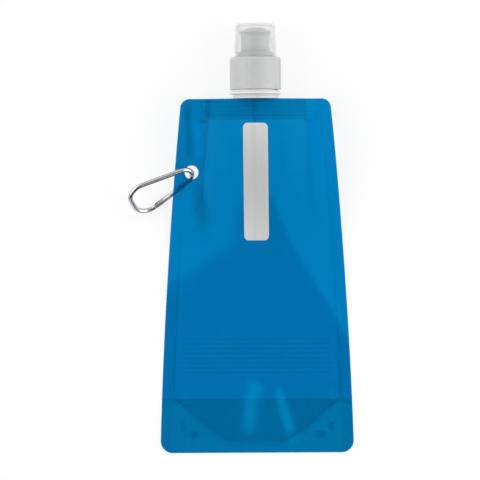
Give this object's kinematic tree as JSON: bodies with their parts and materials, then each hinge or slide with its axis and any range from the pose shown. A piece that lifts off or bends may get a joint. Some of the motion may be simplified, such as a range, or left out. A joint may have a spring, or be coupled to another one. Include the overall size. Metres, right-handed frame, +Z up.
{
  "type": "folding water bottle",
  "caption": "Empty film pouch bottle lying flat, with folding film sections, a welded spout, a screw cap with a pull nozzle under a clear cover, and a snap hook through a punched hole.",
  "frame": {"origin": "middle of the bottom edge, on the plane the bottle lies on", "axes": "+X across the width to the right, +Y from the bottom edge to the cap, +Z up from the table out of the front panel"},
  "size_m": [0.1381, 0.2641, 0.032],
  "materials": {
    "film": "glossy translucent blue film",
    "strip": "satin silver-grey film",
    "spout": "natural polyethylene",
    "liner": "soft white",
    "cap": "white polypropylene, satin",
    "nozzle": "white polyethylene, satin",
    "cover": "clear polypropylene",
    "hook_metal": "polished",
    "steel": "bright"
  },
  "bodies": {
    "upper_pouch": {"back_panel_upper": "film", "front_panel_upper": "film", "silver_strip": "strip", "spout": "spout"},
    "middle_pouch": {"back_panel_middle": "film", "front_panel_middle": "film"},
    "lower_pouch": {"back_panel_lower": "film", "front_panel_lower": "film", "bottom_gusset": "film"},
    "liner": {"cap_liner": "liner"},
    "cap": {"screw_cap": "cap"},
    "nozzle": {"pull_nozzle": "nozzle"},
    "cover": {"dust_cover": "cover"},
    "hook": {"hook_body": "hook_metal", "gate_pin": "steel"},
    "gate": {"hook_gate": "hook_metal", "latch_pin": "steel", "gate_plunger": "steel", "gate_spring": "steel"}
  },
  "joints": [
    {"name": "upper_fold", "type": "hinge", "parent": "upper_pouch", "child": "middle_pouch", "pos_m": [0, 0.105, 0.0032], "axis": [-1, 0, 0], "range_deg": [0, 158]},
    {"name": "lower_fold", "type": "hinge", "parent": "middle_pouch", "child": "lower_pouch", "pos_m": [0, 0.047, 0.0017], "axis": [-1, 0, 0], "range_deg": [0, 180]},
    {"name": "cap_rise", "type": "slide", "parent": "upper_pouch", "child": "liner", "axis": [0, 1, 0], "range_m": [0, 0.0181]},
    {"name": "cap_turn", "type": "hinge", "parent": "liner", "child": "cap", "pos_m": [0, 0.232, 0.016], "axis": [0, 1, 0], "range_deg": [0, 720]},
    {"name": "nozzle_pull", "type": "slide", "parent": "cap", "child": "nozzle", "axis": [0, 1, 0], "range_m": [0, 0.005]},
    {"name": "cover_lift", "type": "slide", "parent": "nozzle", "child": "cover", "axis": [0, 1, 0], "range_m": [0, 0.028]},
    {"name": "hook_swing", "type": "hinge", "parent": "upper_pouch", "child": "hook", "pos_m": [-0.03955, 0.173, 0.01186], "axis": [0, -0.2123, 0.9772], "range_deg": [-90, 8]},
    {"name": "gate_open", "type": "hinge", "parent": "hook", "child": "gate", "pos_m": [-0.04565, 0.1645, 0.00634], "axis": [-0.3394, 0.6717, -0.6585], "range_deg": [0, 18], "stiffness_Nm_per_rad": 0.05, "springref_deg": -5.73}
  ],
  "couplings": [
    {"joint": "cap_rise", "follows": "cap_turn", "m_per_rad": 0.0014324}
  ]
}
